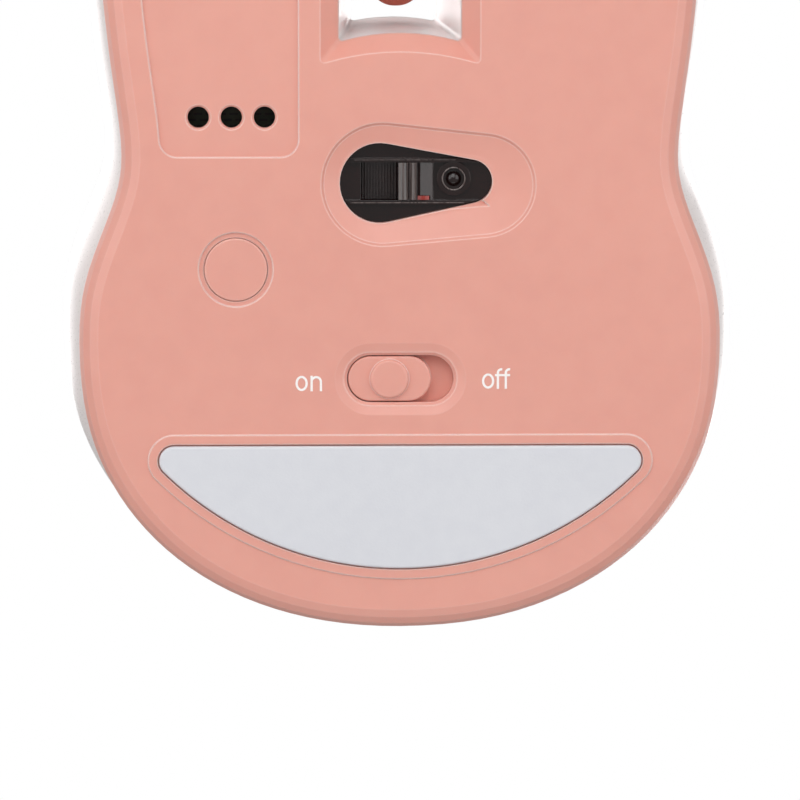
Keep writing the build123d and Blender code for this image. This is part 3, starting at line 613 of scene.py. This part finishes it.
def print_pieces():
    """The two plain switch words printed beside the power switch."""
    ink = print_ink()
    on = letter_o(0.0) + letter_n(1.64)
    off = letter_o(0.0) + letter_f(1.62) + letter_f(2.41) + [line(1.33, 1.38, 2.84, 1.38)]
    for name, strokes, start in (("print_on", on, ON_START), ("print_off", off, OFF_START)):
        points, faces = word(strokes, *start)
        piece(name, points, faces, "mouse", ink, smooth=False)


def bar(x0, x1, y0, y1, z0, z1, ripple=0.0, pitch=1.0, steps=12):
    """A closed bar, in millimetres, with a flat back at z1. With no ripple its face swells to z0 by the sine
    of the way across x, and with one it lies at z0 and waves by that depth at that pitch."""
    x = np.linspace(x0, x1, steps)
    way = (x - x0) / (x1 - x0)
    swell = np.sin(math.pi * way) if ripple == 0.0 else 1.0
    face = z1 - (z1 - z0) * swell + ripple * np.cos(2 * math.pi * x / pitch)
    thinnest = 0.01
    outline = np.concatenate([np.column_stack([x, np.minimum(face, z1 - thinnest)]), [[x1, z1], [x0, z1]]])
    rows, columns = 3, len(outline)
    y = np.repeat(np.linspace(y0, y1, rows)[:, None], columns, 1)
    x, z = (np.broadcast_to(side, y.shape) for side in outline.T)
    return (np.stack([x, y, z], axis=-1) * MM).reshape(-1, 3), capped(rows, columns)


def ring(x, y, z, radius, section):
    """A closed ring lying flat, in millimetres: a circle of the section's radius swept round the radius."""
    turns, around = 48, 12
    turn = np.linspace(0, 2 * math.pi, turns + 1)[:-1][:, None]
    phi = np.linspace(0, 2 * math.pi, around + 1)[:-1][None, :]
    out = radius + section * np.cos(phi)
    height = np.broadcast_to(z + section * np.sin(phi), (turns, around))
    points = np.stack([x + out * np.cos(turn), y + out * np.sin(turn), height], axis=-1) * MM
    return points.reshape(-1, 3), grid_faces(turns, around, True, True).tolist()


def optics_pieces():
    """What shows in the sensor window: the chamber's fluted ceiling in acrylic with painted shade, upright
    prism bars, ridges and a lens ring along it with painted highlight, and the lamp's painted glint."""
    glass = bpy.data.materials["clear_optics_painted_shade"]
    bright = optics_painted_highlight()
    back = OPTICS_BACK
    flutes = [bar(0.25, 3.85, -9.35, -5.55, 3.05, 3.4, ripple=0.07, pitch=0.3, steps=73)]
    prism = [bar(-0.75, 0.15, *PRISM_Y, 1.55, back), bar(-1.62, -1.0, *PRISM_Y, 1.5, back)]
    ridges = [bar(-6.4, 5.0, -9.64, -9.53, 1.72, back, ripple=0.004, pitch=2.0),
              bar(-5.6, 4.6, -5.34, -5.28, 1.74, back, ripple=0.004, pitch=2.0),
              ring(-5.35, -7.2, 1.86, 1.12, 0.09)]
    glint = [bar(-2.9, -1.75, -9.3, -8.9, 1.62, back)]
    for name, parts, material in (("chamber_flutes", flutes, glass), ("prism_bars", prism, bright),
                                  ("window_ridges", ridges, bright), ("lamp_glint", glint, red_glint())):
        points, faces = joined(parts)
        obj = piece(name, points, faces, "mouse", material, smooth=False)


# ---- floor, light, camera ----------------------------------------------------------------------
def floor():
    """A wide square just under the feet, in four quads, which only the camera sees."""
    edge = np.linspace(-FLOOR_HALF, FLOOR_HALF, 3)
    x, y = np.meshgrid(edge, edge)
    points = np.stack([x, y, np.full_like(x, FLOOR_Z)], axis=-1).reshape(-1, 3)
    mesh = bpy.data.meshes.new("floor")
    mesh.from_pydata(points.tolist(), [], grid_faces(3, 3)[:, ::-1].tolist())
    mesh.materials.append(floor_paint())
    obj = bpy.data.objects.new("floor", mesh)
    bpy.context.scene.collection.objects.link(obj)
    obj.visible_shadow = obj.visible_diffuse = obj.visible_glossy = obj.visible_transmission = False


def aim(obj, target, up):
    """Points the object's -Z at the target with its +Y as near up as it can be."""
    back = (obj.location - Vector(target)).normalized()
    right = Vector(up).cross(back).normalized()
    top = back.cross(right)
    obj.rotation_mode = "QUATERNION"
    obj.rotation_quaternion = Matrix((right, top, back)).transposed().to_quaternion()


def soft_light(name, place, target, size, power):
    """A white square area light, aimed at the target."""
    lamp = bpy.data.lights.new(name, "AREA")
    lamp.shape, lamp.size, lamp.energy = "SQUARE", size, power
    obj = bpy.data.objects.new(name, lamp)
    obj.location = place
    aim(obj, target, (0, 1, 0.01))
    bpy.context.scene.collection.objects.link(obj)


def studio():
    """White surroundings, soft boxes under the floor for the underside and over it for the rest."""
    for name, settings in LIGHTS.items():
        soft_light(name, *settings)
    world = bpy.data.worlds.new("white_room")
    bpy.context.scene.world = world
    world.use_nodes = True
    tree = world.node_tree
    seen = node(tree, "ShaderNodeLightPath").outputs["Is Camera Ray"]
    strength = remap(tree, seen, (ROOM_LIGHT, ROOM_SEEN))
    tree.links.new(strength, tree.nodes["Background"].inputs["Strength"])
    tree.nodes["Background"].inputs["Color"].default_value = (1, 1, 1, 1)


def camera():
    """Half a metre under the mouse, a little to its right, aimed at its rear half, the button end upwards."""
    data = bpy.data.cameras.new("camera")
    data.lens, data.sensor_width = CAMERA_LENS, CAMERA_SENSOR
    data.clip_start, data.clip_end = CAMERA_CLIP
    obj = bpy.data.objects.new("camera", data)
    obj.location = CAMERA_PLACE
    aim(obj, CAMERA_AIM, (0, 1, 0))
    bpy.context.scene.collection.objects.link(obj)
    bpy.context.scene.camera = obj
    bpy.context.scene.view_settings.view_transform = "Standard"


paint_nodes()
wheel_pieces()
spring_pieces()
print_pieces()
optics_pieces()
floor()
studio()
camera()
